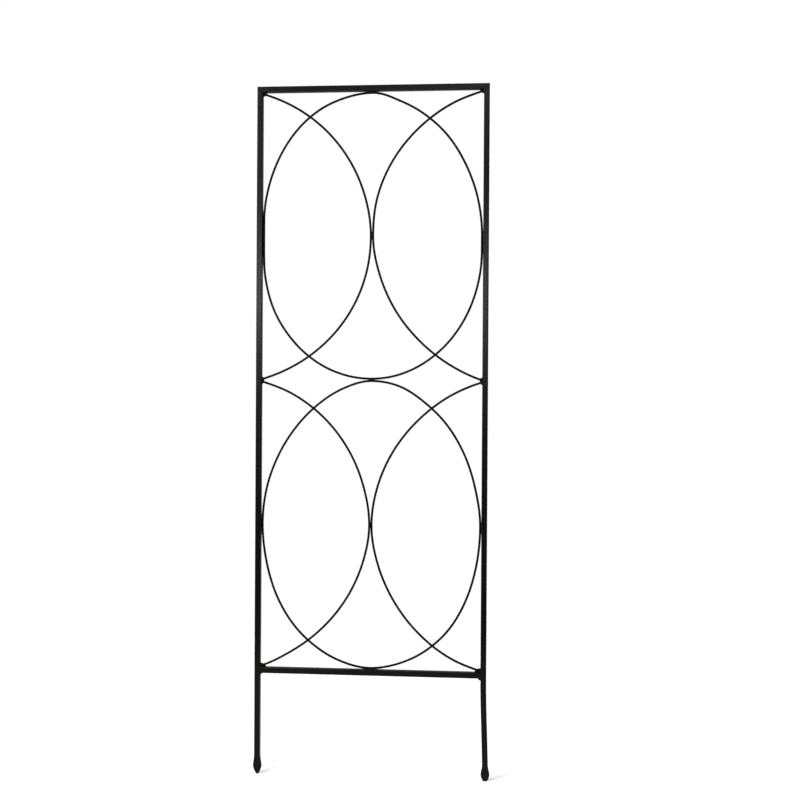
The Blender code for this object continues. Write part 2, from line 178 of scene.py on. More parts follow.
def strayed(half_width: float, half_height: float, angle: float, stray: float) -> Vector:
    """A point (across, up) of an ellipse, moved straight outwards by the stray."""
    outward = Vector((half_height * cos(angle), half_width * sin(angle))).normalized()
    return Vector((half_width * cos(angle), half_height * sin(angle))) + outward * stray


def curve_through(points: Sequence[Pair], place: float) -> float:
    """Read a smooth curve that rises and falls only where its points do.

    Args:
        points: (place, value) pairs in rising order of place.
        place: Where to read the curve, which is held inside the points.

    Returns:
        The value there.
    """

    def rise(at: int) -> float:
        """The slope of the straight line from a point to the next."""
        (start, low), (end, high) = points[at], points[at + 1]
        return (high - low) / (end - start)

    def slope(at: int) -> float:
        """The slope at a point: the harmonic mean of its two sides, or level at a peak."""
        before, after = rise(max(at - 1, 0)), rise(min(at, len(points) - 2))
        return 2 * before * after / (before + after) if before * after > 0 else 0.0

    return cubic(points, place, slope)


class Shade:
    """A socket's value, on which shader maths is written as plain expressions."""

    def __init__(self, tree: "ShaderTree", socket: bpy.types.NodeSocket) -> None:
        """Wrap an output socket of a tree."""
        self.tree = tree
        self.socket = socket

    def _maths(self, operation: str, first: "Shade | float", second: "Shade | float") -> "Shade":
        """Add one Math node of two values."""
        return self.tree.node("Math", {"operation": operation}, {0: first, 1: second})

    def __add__(self, other: "Shade | float") -> "Shade":
        """This value plus another."""
        return self._maths("ADD", self, other)

    __radd__ = __add__

    def __sub__(self, other: "Shade | float") -> "Shade":
        """This value less another."""
        return self._maths("SUBTRACT", self, other)

    def __rsub__(self, other: "Shade | float") -> "Shade":
        """Another value less this one."""
        return self._maths("SUBTRACT", other, self)

    def __mul__(self, other: "Shade | float") -> "Shade":
        """This value times another."""
        return self._maths("MULTIPLY", self, other)

    __rmul__ = __mul__

    def at_most(self, other: "Shade | float") -> "Shade":
        """The lesser of this value and another."""
        return self._maths("MINIMUM", self, other)

    def at_least(self, other: "Shade | float") -> "Shade":
        """The greater of this value and another."""
        return self._maths("MAXIMUM", self, other)

    def step(self, low: float, high: float) -> "Shade":
        """A smooth step from 0 at low to 1 at high."""
        sockets = {"Value": self, "From Min": low, "From Max": high}
        return self.tree.node("MapRange", {"interpolation_type": "SMOOTHSTEP"}, sockets)


class ShaderTree:
    """The node tree of a material or of the world."""

    def __init__(self, owner: bpy.types.Material | bpy.types.World) -> None:
        """Start an empty tree.

        Args:
            owner: The material or the world that it belongs to.
        """
        owner.use_nodes = True
        self.tree = owner.node_tree
        self.tree.nodes.clear()

    def node(
        self,
        kind: str,
        settings: dict[str, object] | None = None,
        sockets: dict[str | int, object] | None = None,
        output: str | int = 0,
    ) -> Shade:
        """Add a node.

        Args:
            kind: The node's type, after the words that all types begin with.
            settings: Its properties, which are set first.
            sockets: A value, or a Shade to link, for each input socket.
            output: The output socket that is wanted.

        Returns:
            The wanted output.
        """
        made = self.tree.nodes.new("ShaderNode" + kind)
        for name, value in (settings or {}).items():
            setattr(made, name, value)
        for name, value in (sockets or {}).items():
            if isinstance(value, Shade):
                self.tree.links.new(value.socket, made.inputs[name])
            else:
                made.inputs[name].default_value = value
        return Shade(self, made.outputs[output])

    def place(self) -> Shade:
        """The point in the object's own metres."""
        return self.node("TexCoord", output="Object")

    def noise(self, place: Shade, size: float, detail: float = 1.0, rough: float = 0.5) -> Shade:
        """Lumps of a size in metres under finer, rougher layers: a value mostly from 0.3 to 0.7."""
        sockets = {"Vector": place, "Scale": 1 / size, "Detail": detail, "Roughness": rough}
        return self.node("TexNoise", {}, sockets, "Fac")

    def tint(self, share: Shade, first: "Triple | Shade", second: "Triple | Shade") -> Shade:
        """The colour at a share of the way from first to second."""
        ends = [tone if isinstance(tone, Shade) else (*tone, 1.0) for tone in (first, second)]
        return self.node("Mix", {"data_type": "RGBA"}, {0: share, 6: ends[0], 7: ends[1]}, 2)

    def watchers(self) -> tuple[Shade, Shade]:
        """1 for a ray that the camera sees, and 1 for one that was mirrored or let through."""
        path = [self.node("LightPath", output=f"Is {name} Ray") for name in BACKDROP_RAYS]
        return path[0], (path[1] + path[2]).at_most(1.0)

    def close(self, kind: str, surface: Shade) -> None:
        """Add the output node of that kind, and link a finished surface to it."""
        made = self.tree.nodes.new("ShaderNodeOutput" + kind)
        self.tree.links.new(surface.socket, made.inputs["Surface"])


@dataclass(frozen=True)
class PowderCoat:
    """A baked black powder coat, with the soft dimples that such a coat sets with.

    Sizes and depths are in metres. A span is where a smooth step over noise starts and ends,
    and a sheen is what its cause adds to the roughness.
    """

    name: str
    slot: str
    colour: Triple
    roughness: float
    roughness_limits: Pair = (0.15, 0.9)
    peel_size: float = 0.0019
    peel_depth: float = 0.000030
    grain_size: float = 0.00032
    grain_depth: float = 0.0000022
    grain_sheen: float = 0.10
    cloud_size: float = 0.16
    cloud_span: Pair = (0.30, 0.70)
    cloud_tones: Pair = (0.72, 1.30)
    cloud_sheen: float = 0.08
    edge_colour: Triple = (0.0095, 0.0090, 0.0082)
    edge_span: Pair = (0.10, 0.90)
    edge_share: float = 0.8
    edge_sheen: float = -0.05
    dust_colour: Triple = (0.16, 0.15, 0.135)
    dust_size: float = 0.011
    dust_facing: Pair = (0.35, 1.0)
    dust_span: Pair = (0.40, 0.72)
    dust_share: float = 0.10
    dust_sheen: float = 0.12
    specular: float = 0.095

    def material(self) -> bpy.types.Material:
        """Make the coat.

        Returns:
            A material whose tone, gloss and dimples all come from noise in metres.
        """
        made = bpy.data.materials.new(self.name)
        tree = ShaderTree(made)
        place = tree.place()
        peel = tree.noise(place, self.peel_size, detail=1.2, rough=0.45)
        grain = tree.noise(place, self.grain_size, detail=0.0)
        cloud = tree.noise(place, self.cloud_size, detail=3.0, rough=0.55)
        edge = tree.node("Attribute", {"attribute_name": EDGE_ATTRIBUTE}, {}, "Fac")
        facing = tree.node("NewGeometry", output="Normal")
        upward = tree.node("SeparateXYZ", {}, {0: facing}, "Z").step(*self.dust_facing)
        dust = upward * tree.noise(place, self.dust_size, detail=4.0, rough=0.7).step(*self.dust_span)
        darker, lighter = (tuple(tone * part for part in self.colour) for tone in self.cloud_tones)
        colour = tree.tint(cloud.step(*self.cloud_span), darker, lighter)
        colour = tree.tint(edge * peel.step(*self.edge_span) * self.edge_share, colour, self.edge_colour)
        colour = tree.tint(dust * self.dust_share, colour, self.dust_colour)
        gloss = self.roughness + (cloud - 0.5) * self.cloud_sheen + (grain - 0.5) * self.grain_sheen
        gloss = gloss + dust * self.dust_sheen + edge * self.edge_sheen
        lowest, highest = self.roughness_limits
        height = (peel - 0.5) * self.peel_depth + (grain - 0.5) * self.grain_depth
        normal = tree.node("Bump", {}, {"Strength": 1.0, "Distance": 1.0, "Height": height})
        sockets = {
            "Base Color": colour,
            "Roughness": gloss.at_least(lowest).at_most(highest),
            "Normal": normal,
            "Metallic": 0.0,
            "Specular IOR Level": self.specular,
        }
        tree.close("Material", tree.node("BsdfPrincipled", {}, sockets))
        return made


TUBE_COAT = PowderCoat("black_coat_on_tube", "tube_coat", (0.0038, 0.0036, 0.0032), 0.24)
# The wire's coat is the tube's coat made a little darker: painted shade, for thin round wire that catches
# less light than flat tube.
WIRE_COAT = PowderCoat(
    "black_coat_on_wire", "wire_coat", (0.0034, 0.0032, 0.0030), 0.36,
    peel_size=0.0015, peel_depth=0.000012, specular=0.045,
)
WELD_COAT = PowderCoat(
    "black_coat_on_weld", "weld_coat", (0.0040, 0.0038, 0.0035), 0.36,
    peel_size=0.0013, peel_depth=0.000024, specular=0.045,
)


def put(data: bpy.types.ID) -> bpy.types.Object:
    """Put a mesh, a lamp or a camera into the scene.

    Args:
        data: What the object is made of.

    Returns:
        The object, under the name of its data.
    """
    made = bpy.data.objects.new(data.name, data)
    bpy.context.scene.collection.objects.link(made)
    return made


def add_piece(mesh: Mesh, coat: PowderCoat, *nodes: str) -> None:
    """Put a finished mesh into the scene as a piece of the trellis, under the mesh's name.

    Args:
        mesh: The mesh, in the frame of the CAD model.
        coat: Its finish.
        nodes: The CAD nodes that it stands for, if any.
    """
    piece = put(mesh)
    mesh.materials.append(bpy.data.materials.get(coat.name) or coat.material())
    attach(piece, BODY)
    if nodes:
        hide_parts(*nodes)
    log.info("%s: %d faces, stands for %s", piece.name, len(mesh.polygons), ", ".join(nodes) or "no node")


def finished_mesh(name: str, shape: BMesh) -> Mesh:
    """Turn a bmesh into a mesh that faces out and is smooth between its sharp edges.

    Args:
        name: The mesh's name.
        shape: The bmesh, which is freed.

    Returns:
        The mesh.
    """
    bmesh.ops.recalc_face_normals(shape, faces=shape.faces)
    mesh = bpy.data.meshes.new(name)
    shape.to_mesh(mesh)
    shape.free()
    mesh.shade_smooth()
    mesh.set_sharp_from_angle(angle=SHARP_ANGLE)
    return mesh


@dataclass(frozen=True)
class TubeSection:
    """A rectangle with round corners, whose faces can sink and whose edges can part."""

    width: float
    depth: float
    radius: float
    sink: float = 0.0
    parting: float = 0.0

    FLAT_STEPS = 4
    CORNER_STEPS = 6
    PARTING_REACH = 0.0003
    MOST_RADIUS = 0.49

    def outline(self) -> list[Triple]:
        """Points anticlockwise around the section, from the middle of its right edge.

        Returns:
            (across, deep, edge) points, where edge is 1 on the middle of a round corner.
        """
        radius = min(self.radius, self.MOST_RADIUS * self.width, self.MOST_RADIUS * self.depth)
        half_width, half_depth = self.width / 2, self.depth / 2
        flat_across, flat_deep = half_width - radius, half_depth - radius
        shares = [step / self.FLAT_STEPS for step in range(self.FLAT_STEPS)]
        turns = [step / self.CORNER_STEPS * pi / 2 for step in range(self.CORNER_STEPS + 1)]
        quarter = [(half_width, flat_deep * share, 0.0) for share in shares]
        for turn in turns:
            across, deep = flat_across + radius * cos(turn), flat_deep + radius * sin(turn)
            quarter.append((across, deep, sin(2 * turn) ** 2))
        quarter += [(flat_across * share, half_depth, 0.0) for share in reversed(shares)]
        quarter = [(*self._dent(across, deep), edge) for across, deep, edge in quarter]
        points = []
        for across_sign, deep_sign in ((1, 1), (-1, 1), (-1, -1), (1, -1)):
            row = quarter if across_sign == deep_sign else quarter[::-1]
            points += [(across_sign * across, deep_sign * deep, edge) for across, deep, edge in row[:-1]]
        return points

    def _dent(self, across: float, deep: float) -> Pair:
        """Sink the broad faces and part the narrow edges.

        Args:
            across: A point of the outline's first quarter, from the section's middle.
            deep: The same point's other measure.

        Returns:
            The moved point.
        """
        fall = 1 - (2 * across / self.width) ** 2
        reach = deep / self.PARTING_REACH
        on_edge = across > self.width / 2 - self.radius
        parted = across - (self.parting * exp(-reach * reach) if on_edge else 0.0)
        return parted, deep - self.sink * fall * fall * (2 * deep / self.depth)


def bridge(shape: BMesh, rings: Sequence[Sequence[BMVert]]) -> None:
    """Join each ring of vertices to the next one with faces.

    Args:
        shape: The bmesh.
        rings: Rings of the same number of vertices.
    """
    for first, second in zip(rings, rings[1:]):
        for index in range(len(first)):
            after = (index + 1) % len(first)
            shape.faces.new((first[index], first[after], second[after], second[index]))


def loft(name: str, rings: Sequence[Ring], edges: Sequence[float]) -> Mesh:
    """A closed skin over rings of points, with ladder caps from the front to the back.

    Args:
        name: The mesh's name.
        rings: Rings of the same number of points, each from the middle of the right edge.
        edges: How thin the coat lies on each point of a ring, from 0 to 1.

    Returns:
        The mesh, with the thin coat as an attribute.
    """
    shape = bmesh.new()
    layer = shape.verts.layers.float.new(EDGE_ATTRIBUTE)
    rows = [[shape.verts.new(point) for point in ring] for ring in rings]
    for row in rows:
        for vertex, edge in zip(row, edges):
            vertex[layer] = edge
    bridge(shape, rows)
    for row in (rows[0], rows[-1]):
        for index in range(len(row) // 2):
            corners = (row[index], row[index + 1], row[-index - 1], row[-index])
            shape.faces.new(dict.fromkeys(corners))
    return finished_mesh(name, shape)


@dataclass(frozen=True)
class Plan:
    """Where the trellis's pieces lie, as read from the CAD nodes.

    tube is the tube's width, and wire is the wire's radius. stile and inner are how far to each
    side the axis and the inner face of a stile lie. top, underside, sill and rail_floor are the
    heights of the rails' upper and lower faces, and panel_half is half the gap between the rails.
    """

    tube: float
    wire: float
    stile: float
    inner: float
    top: float
    underside: float
    middle: float
    panel_half: float
    sill: float
    rail_floor: float

    @classmethod
    def from_frame(cls) -> "Plan":
        """Read the plan from the boxes of the CAD nodes.

        Returns:
            The plan.
        """
        top_low, top_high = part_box("top_rail")
        sill_low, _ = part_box("bottom_rail")
        stile_low, stile_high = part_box("left_stile")
        oval_low, oval_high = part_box("upper_oval")
        tube = top_high.z - top_low.z
        half_width = tube / 2 - (stile_low.x + stile_high.x) / 2
        underside, sill = top_high.z - tube, sill_low.z + tube
        return cls(
            tube=tube,
            wire=(oval_high.y - oval_low.y) / 2,
            stile=half_width - tube / 2,
            inner=half_width - tube,
            top=top_high.z,
            underside=underside,
            middle=(underside + sill) / 2,
            panel_half=(underside - sill) / 2,
            sill=sill,
            rail_floor=sill_low.z,
        )

    def rail_face(self, level: Level) -> float:
        """Height of the face with which the rail at a panel's end looks into the panel."""
        return self.underside if level is Level.UPPER else self.sill


@dataclass(frozen=True)
class FootShape:
    """The crimped and cropped end of a stake, as (height, width) points up from its tip.

    The stake leans outwards by its lean at the tip, and stands straight at the bottom rail.
    """

    outline: tuple[Pair, ...]
    widest: float
    flare_top: float
    lean: float = 0.0


POINTED_FOOT = FootShape(
    outline=(
        (0.0, 0.0027), (0.0008, 0.0042), (0.0034, 0.0087), (0.0066, 0.0118), (0.0105, 0.0151),
        (0.0166, 0.0176), (0.0245, 0.0158), (0.0320, 0.0129), (0.0400, 0.0115), (0.0410, 0.0115),
    ),
    widest=0.0166,
    flare_top=0.0400,
)
BLUNT_FOOT = FootShape(
    outline=(
        (0.0, 0.0085), (0.0018, 0.0105), (0.0050, 0.0138), (0.0082, 0.0160),
        (0.0122, 0.0176), (0.0190, 0.0158), (0.0252, 0.0130), (0.0325, 0.0115), (0.0335, 0.0115),
    ),
    widest=0.0122,
    flare_top=0.0325,
    lean=0.0045,
)


@dataclass
class TubeFrame:
    """Two stiles that run down into crimped feet, and two rails, all of square tube."""

    plan: Plan
    corner: float = 0.0012
    joint_round: float = 0.00028
    joint_steps: int = 3
    flat_after: float = 0.0006
    foot_thickness: float = 0.0028
    tip_thickness: float = 0.0019
    tip_round: float = 0.0004
    tip_corner: float = 0.0006
    least_corner: float = 0.0004
    face_groove: float = 0.00034
    tip_groove_share: float = 0.6
    face_sink: float = 0.0011
    die_mark: float = 0.00018
    die_mark_reach: float = 0.0013
    lip_parting: float = 0.00022
    lip_closing: float = 1.6
    foot_step: float = 0.0005
    stake_steps: int = 16

    def section(self, inset: float = 0.0) -> TubeSection:
        """The plain tube's section, drawn in by an inset all round."""
        size = self.plan.tube - 2 * inset
        return TubeSection(size, size, max(self.corner - inset, self.least_corner))

    @property
    def edges(self) -> list[float]:
        """How thin the coat lies on each point of a section."""
        return [edge for _, _, edge in self.section().outline()]

    def joint_profile(self) -> list[Pair]:
        """The rings at a cut end.

        Returns:
            (inset, setback) of each ring that rounds the end, and of one that keeps the tube flat.
        """
        turns = [step / self.joint_steps * pi / 2 for step in range(self.joint_steps + 1)]
        rings = [(self.joint_round * (1 - sin(turn)), self.joint_round * (1 - cos(turn))) for turn in turns]
        return [*rings, (0.0, self.joint_round + self.flat_after)]

    def foot_section(self, foot: FootShape, height: float) -> TubeSection:
        """The section at a height of the crimped foot.

        Args:
            foot: The foot's shape.
            height: Height above the tip.

        Returns:
            The section there.
        """
        width = curve_through(foot.outline, height)
        share = (height - foot.widest) / (foot.flare_top - foot.widest)
        from_mark = (height - foot.widest) / self.die_mark_reach
        mark = 2 * self.die_mark * exp(-from_mark * from_mark)
        if share < 0:
            thinning = ease(height / foot.widest)
            depth = blend(self.tip_thickness, self.foot_thickness, thinning) - mark
            groove = self.face_groove * blend(self.tip_groove_share, 1.0, thinning)
            return TubeSection(width, depth, self.corner, groove, self.lip_parting)
        depth = blend(self.foot_thickness, self.plan.tube, ease(share)) - mark
        sink = blend(self.face_groove, 0.0, ease(share)) + self.face_sink * sin(pi * min(share, 1.0)) ** 2
        parting = self.lip_parting * (1 - ease(share * self.lip_closing))
        return TubeSection(width, depth, self.corner, sink, parting)

    def stake_rings(self, side: Side, foot: FootShape) -> list[Ring]:
        """The rings of a stake.

        Args:
            side: The stake's side.
            foot: The shape of its foot.

        Returns:
            The rings, from the tip of the foot up to the bottom rail.
        """
        tip = self.foot_section(foot, 0.0)
        small = TubeSection(tip.width - self.tip_round, tip.depth - self.tip_round, self.tip_corner)
        stations = [(0.0, small)]
        count = round(foot.flare_top / self.foot_step)
        for step in range(count + 1):
            height = max(foot.flare_top * step / count, self.tip_round / 2)
            stations.append((height, self.foot_section(foot, height)))
        for step in range(self.stake_steps + 1):
            low = foot.flare_top + self.flat_after
            stations.append((blend(low, self.plan.rail_floor, step / self.stake_steps), self.section()))
        rings = []
        for height, section in stations:
            lean = foot.lean * ease(1 - height / self.plan.rail_floor)
            axis = side * (self.plan.stile + lean)
            rings.append([Vector((axis + u, v, height)) for u, v, _ in section.outline()])
        return rings

    def stile_mesh(self, side: Side, foot: FootShape) -> Mesh:
        """One stile, from the tip of its foot to its mitred top.

        Args:
            side: The stile's side.
            foot: The shape of its foot.

        Returns:
            The mesh.
        """
        axis = side * self.plan.stile
        rings = self.stake_rings(side, foot)
        for inset, setback in reversed(self.joint_profile()):
            ring = []
            for across, deep, _ in self.section(inset).outline():
                below = self.plan.tube / 2 - side * across
                ring.append(Vector((axis + across, deep, self.plan.top - below - setback * sqrt(2))))
            rings.append(ring)
        return loft(f"{side.word}_stile_tube", rings, self.edges)

    def rail_mesh(self, name: str, height: float, end_at: Callable[[float, float], float]) -> Mesh:
        """A rail.

        Args:
            name: The mesh's name.
            height: Height of its axis.
            end_at: Gives the half length at (up from the axis, setback from the cut).

        Returns:
            The mesh.
        """
        profile = self.joint_profile()
        stations = [(-1, step) for step in profile] + [(1, step) for step in reversed(profile)]
        rings = []
        for sign, (inset, setback) in stations:
            outline = self.section(inset).outline()
            rings.append([Vector((sign * end_at(up, setback), deep, height + up)) for up, deep, _ in outline])
        return loft(name, rings, self.edges)

    def build(self) -> None:
        """Build and dress two stiles, a rail with mitred ends and a rail with square ends."""
        plan = self.plan
        half = plan.tube / 2
        for side, foot in ((Side.LEFT, POINTED_FOOT), (Side.RIGHT, BLUNT_FOOT)):
            add_piece(self.stile_mesh(side, foot), TUBE_COAT, f"{side.word}_stile")
        rails = (
            ("top_rail", plan.top - half, lambda up, back: plan.stile + up - back * sqrt(2)),
            ("bottom_rail", plan.sill - half, lambda up, back: plan.inner - back),
        )
        for node, height, end_at in rails:
            add_piece(self.rail_mesh(f"{node}_tube", height, end_at), TUBE_COAT, node)


@dataclass
class WireInfill:
    """Two ovals and four bowed arcs of round wire."""

    plan: Plan
    arc_centre_beyond_stile: float = 0.0986
    arc_end_setback: float = 0.0019
    arc_clear_of_middle: float = 0.0005
    arc_clear_of_rail: float = 0.0010
    ovals_meet_above_middle: float = 0.0019
    oval_steps: int = 400
    arc_steps: int = 190
    sides: int = 18
    crossing_steps: int = 60
    crossing_halvings: int = 40

    @property
    def oval_half(self) -> Pair:
        """Half width and half height of an oval's centre line."""
        return self.plan.inner - self.plan.wire, self.plan.panel_half / 2 - self.plan.wire

    def oval_centre(self, level: Level) -> Vector:
        """The centre of an oval, which lies in the back layer."""
        return Vector((0, self.plan.wire, self.plan.middle + level * self.plan.panel_half / 2))

    def oval_pins(self, level: Level) -> dict[float, float]:
        """An oval's stray at its welds, by angle: none, except where the two ovals meet."""
        meeting = {180.0 + 90.0 * level: -level * self.ovals_meet_above_middle / self.oval_half[0]}
        return dict.fromkeys((0.0, 90.0, 180.0, 270.0, 360.0), 0.0) | meeting

    def oval_point(self, level: Level, angle: float) -> Vector:
        """A point of an oval's centre line, no further out than the stile.

        Args:
            level: The oval's panel.
            angle: The angle around the oval, from its right side.

        Returns:
            The point.
        """
        half_width, half_height = self.oval_half
        stray = stray_at(f"{level.word}_oval", degrees(angle) % 360, self.oval_pins(level)) * half_width
        across, up = strayed(half_width, half_height, angle, stray)
        across = min(max(across, -half_width), half_width)
        return self.oval_centre(level) + Vector((across, 0, up))

    @property
    def arc_frame(self) -> tuple[float, float, float, float, float]:
        """An arc's ellipse.

        Returns:
            Its centre across, the rise to it, its half width and height, and its end angle.
        """
        centre = self.plan.inner + self.arc_centre_beyond_stile
        half_width = centre - self.plan.wire
        end_angle = acos((centre - self.plan.inner + self.arc_end_setback) / half_width)
        near_end = self.plan.wire + self.arc_clear_of_middle
        far_end = self.plan.panel_half - self.plan.wire - self.arc_clear_of_rail
        half_height = (far_end - near_end) / 2 / sin(end_angle)
        return centre, (far_end + near_end) / 2, half_width, half_height, end_angle

    def arc_point(self, side: Side, level: Level, angle: float) -> Vector:
        """A point of an arc's centre line.

        Args:
            side: The arc's side.
            level: The arc's panel.
            angle: The angle around the arc, from its apex.

        Returns:
            The point.
        """
        centre, rise, half_width, half_height, end_angle = self.arc_frame
        pins = dict.fromkeys((-degrees(end_angle), 0.0, degrees(end_angle)), 0.0)
        stray = stray_at(f"{level.word}_{side.word}_arc", degrees(angle), pins) * self.oval_half[0]
        inwards, up = strayed(half_width, half_height, angle, stray)
        across = side * (centre - inwards)
        return Vector((across, -self.plan.wire, self.plan.middle + level * (rise + up)))

    def arc_reach(self) -> float:
        """The angle at which an arc's centre line meets the stile's face."""
        centre, _, half_width, _, _ = self.arc_frame
        return acos((centre - self.plan.inner) / half_width)

    def add_wire(self, node: str, points: Sequence[Vector], closed: bool) -> None:
        """Build and dress a wire.

        Args:
            node: The CAD node that it stands for.
            points: Its centre line, in one upright plane.
            closed: Whether it closes on itself.
        """
        shape = bmesh.new()
        add_rod(shape, points, self.plan.wire, self.sides, closed)
        add_piece(finished_mesh(f"{node}_wire", shape), WIRE_COAT, node)

    def crossings(self, side: Side, level: Level) -> list[Pair]:
        """Where an arc crosses its oval.

        Args:
            side: The arc's side.
            level: The panel.

        Returns:
            (angle on the arc, angle on the oval) pairs.
        """
        half_width, half_height = self.oval_half
        centre = self.oval_centre(level)

        def around(point: Vector) -> float:
            """The oval's angle beside a point that is measured from the oval's centre."""
            return atan2(point.z / half_height, point.x / half_width)

        def outside(angle: float) -> float:
            """How far the arc lies outside the oval, at one of the arc's angles.

            Args:
                angle: The angle.

            Returns:
                A length, below 0 where the arc lies inside the oval.
            """
            point = self.arc_point(side, level, angle) - centre
            edge = self.oval_point(level, around(point)) - centre
            return hypot(point.x, point.z) - hypot(edge.x, edge.z)

        found = []
        places = spread(0, self.arc_reach(), self.crossing_steps)
        for low, high in zip(places, places[1:]):
            if outside(low) * outside(high) > 0:
                continue
            for _ in range(self.crossing_halvings):
                mid = (low + high) / 2
                if outside(low) * outside(mid) <= 0:
                    high = mid
                else:
                    low = mid
            found.append((low, around(self.arc_point(side, level, low) - centre)))
        return found

    def build(self) -> None:
        """Build and dress the six wires."""
        for level in Level:
            angles = [2 * pi * step / self.oval_steps for step in range(self.oval_steps)]
            self.add_wire(f"{level.word}_oval", [self.oval_point(level, angle) for angle in angles], True)
            for side in Side:
                angles = spread(0, self.arc_reach(), self.arc_steps)
                points = [self.arc_point(side, level, angle) for angle in angles]
                self.add_wire(f"{level.word}_{side.word}_arc", points, False)


def add_rod(shape: BMesh, points: Sequence[Vector], radius: float, sides: int, closed: bool) -> None:
    """Add a round rod along points that lie in one upright plane across the depth.

    Args:
        shape: The bmesh that it goes into.
        points: The centre line.
        radius: The rod's radius.
        sides: How many faces go round it.
        closed: Whether it closes on itself.
    """
    last = len(points) - 1
    deep = Vector((0, 1, 0))
    rings = []
    for index, point in enumerate(points):
        before = points[index - 1] if closed or index else point
        after = points[0 if index == last else index + 1] if closed or index < last else point
        outward = (after - before).normalized().cross(deep)
        turns = [2 * pi * step / sides for step in range(sides)]
        offsets = [(outward * cos(turn) + deep * sin(turn)) * radius for turn in turns]
        rings.append([shape.verts.new(point + offset) for offset in offsets])
    bridge(shape, [*rings, rings[0]] if closed else rings)
    if not closed:
        shape.faces.new(rings[0])
        shape.faces.new(rings[-1])


@dataclass
class WeldMetal:
    """Lumps of weld metal that have run together with the steel beside them."""

    name: str
    grain: float = 0.00028
    smoothing: int = 14
    smoothing_share: float = 0.5
    ripple: float = 0.00016
    ripple_size: float = 0.0021
    keep: float = 0.5

    RUN_LUMPS = 9
    RUN_SWELL = 0.025
    BEAT = 2.3

    def __post_init__(self) -> None:
        """Start with no metal."""
        self.shape = bmesh.new()

    def swell(self, index: int, by: float) -> float:
        """The factor by which one lump of a row is larger than in an even row."""
        return 1 + by * cos(self.BEAT * index)

    def ball(self, centre: Sequence[float], radii: Sequence[float]) -> None:
        """Add a stretched ball."""
        place = Matrix.Translation(centre) @ Matrix.Diagonal((*radii, 1))
        bmesh.ops.create_icosphere(self.shape, subdivisions=3, radius=1, matrix=place)

    def run(self, start: Vector, end: Vector, radii: Sequence[float], taper: float = 0.28) -> None:
        """Add a bead: a line of overlapping lumps that gets thinner towards its ends.

        Args:
            start: Centre of the first lump.
            end: Centre of the last lump.
            radii: The half sizes of the middle lump.
            taper: How much smaller the end lumps are.
        """
        for index in range(self.RUN_LUMPS):
            share = index / (self.RUN_LUMPS - 1)
            size = (1 - taper * (2 * share - 1) ** 2) * self.swell(index, self.RUN_SWELL)
            self.ball(start.lerp(end, share), [size * part for part in radii])

    def block(self, corner: Sequence[float], opposite: Sequence[float]) -> None:
        """Add a block of the tube's wall.

        Args:
            corner: One of its corners.
            opposite: The corner that is furthest from that one.
        """
        size = [abs(part) for part in Vector(opposite) - Vector(corner)]
        place = Matrix.Translation((Vector(opposite) + Vector(corner)) / 2) @ Matrix.Diagonal((*size, 1))
        bmesh.ops.create_cube(self.shape, size=1, matrix=place)

    def mesh(self) -> Mesh:
        """Melt everything that was added into one smooth skin.

        Returns:
            The mesh, with the slow ripples that a bead sets with.
        """
        raw = bpy.data.meshes.new(self.name + "_raw")
        bmesh.ops.recalc_face_normals(self.shape, faces=self.shape.faces)
        self.shape.to_mesh(raw)
        self.shape.free()
        holder = put(raw)
        texture = bpy.data.textures.new(self.name + "_ripple", "CLOUDS")
        texture.noise_scale = self.ripple_size
        texture.noise_depth = 1
        steps = {
            "REMESH": {"mode": "VOXEL", "voxel_size": self.grain},
            "SMOOTH": {"factor": self.smoothing_share, "iterations": self.smoothing},
            "DISPLACE": {"texture": texture, "texture_coords": "GLOBAL", "strength": self.ripple},
            "DECIMATE": {"ratio": self.keep},
        }
        for kind, settings in steps.items():
            modifier = holder.modifiers.new(kind, kind)
            for setting, value in settings.items():
                setattr(modifier, setting, value)
        graph = bpy.context.evaluated_depsgraph_get()
        mesh = bpy.data.meshes.new_from_object(holder.evaluated_get(graph))
        mesh.name = self.name
        bpy.data.objects.remove(holder)
        bpy.data.meshes.remove(raw)
        bpy.data.textures.remove(texture)
        mesh.shade_smooth()
        return mesh

    def place(self, *nodes: str, coat: PowderCoat = WELD_COAT) -> None:
        """Put the metal into the scene, in place of those nodes."""
        add_piece(self.mesh(), coat, *nodes)


@dataclass(frozen=True)
class CornerBead:
    """A bead in a corner of the frame: a curved row of lumps, over a lump in the corner's root.

    Its legs are how far it runs along the rail and along the stile, and its middle lump is as
    large as plump says. The end lumps and the root's lump and place are shares of that. How
    deep a lump is, and how far off the corner it lies, are shares of its own radius.
    """

    legs: Pair
    plump: float
    lumps: int = 13
    end_radius: float = 0.62
    swell: float = 0.04
    hollow: float = 1.5
    off_corner: float = 0.3
    depth_share: float = 1.35
    forward: float = 0.0005
    root_place: float = 0.55
    root_radius: float = 1.3
    root_depth: float = 0.0031
    melted_wire: float = 0.006


@dataclass(frozen=True)
class Fillet:
    """A straight bead below one end of the bottom rail. Its place and radius are shares of its leg."""

    leg: float
    place: float = 0.3
    radius: float = 0.66
    half_length: float = 0.0030
    depth: float = 0.0020
    taper: float = 0.16
    wall_beyond: float = 0.002


@dataclass(frozen=True)
class Tack:
    """A short bead along a wire, which may have slipped down.

    Its lumps are as deep as it is plump, and their radii along it and out of the steel are
    shares of that. It lies back from the middle of the depth, or of its wire.
    """

    length: float
    plump: float
    upright: bool
    drop: float = 0.0
    radii: Pair = (1.35, 0.9)
    back: float = 0.0001
    melted_wire: float = 0.004


CORNER_BEADS = {
    Level.UPPER: CornerBead(legs=(0.0076, 0.0070), plump=0.0026),
    Level.LOWER: CornerBead(legs=(0.0110, 0.0074), plump=0.0032),
}
FILLETS = {Side.LEFT: Fillet(0.0032), Side.RIGHT: Fillet(0.0046)}

